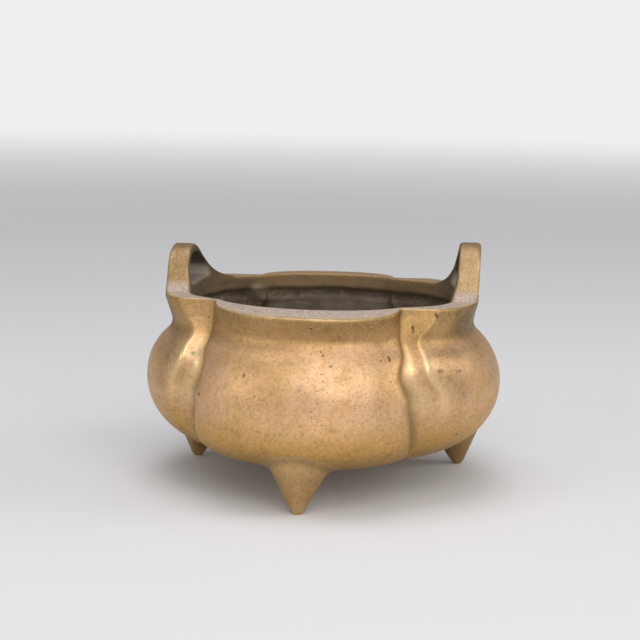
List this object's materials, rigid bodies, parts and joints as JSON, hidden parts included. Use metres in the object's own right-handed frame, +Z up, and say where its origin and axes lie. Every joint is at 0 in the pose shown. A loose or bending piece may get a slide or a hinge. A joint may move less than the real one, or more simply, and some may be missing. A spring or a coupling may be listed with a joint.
{
  "type": "tripod incense burner",
  "caption": "Squat four-lobed brass bowl with a waisted neck, loop handles rising from the rim and pointed conical feet, open at the top to hold ash and burning incense.",
  "frame": {"origin": "on the ground plane, under the middle of the bounding box and of the bowl", "axes": "+Z up, -Y toward the side with the single foot, +X toward the right-hand handle"},
  "size_m": [0.139, 0.1404, 0.0954],
  "materials": {
    "bowl_brass": "worn satin casting with a thin brown patina",
    "foot_brass": "worn satin casting with a thin brown patina",
    "handle_brass": "worn satin casting with a thin brown patina"
  },
  "bodies": {
    "root": {"bowl": "bowl_brass", "front_foot": "foot_brass", "right_rear_foot": "foot_brass", "left_rear_foot": "foot_brass", "right_handle": "handle_brass", "left_handle": "handle_brass"}
  },
  "joints": []
}
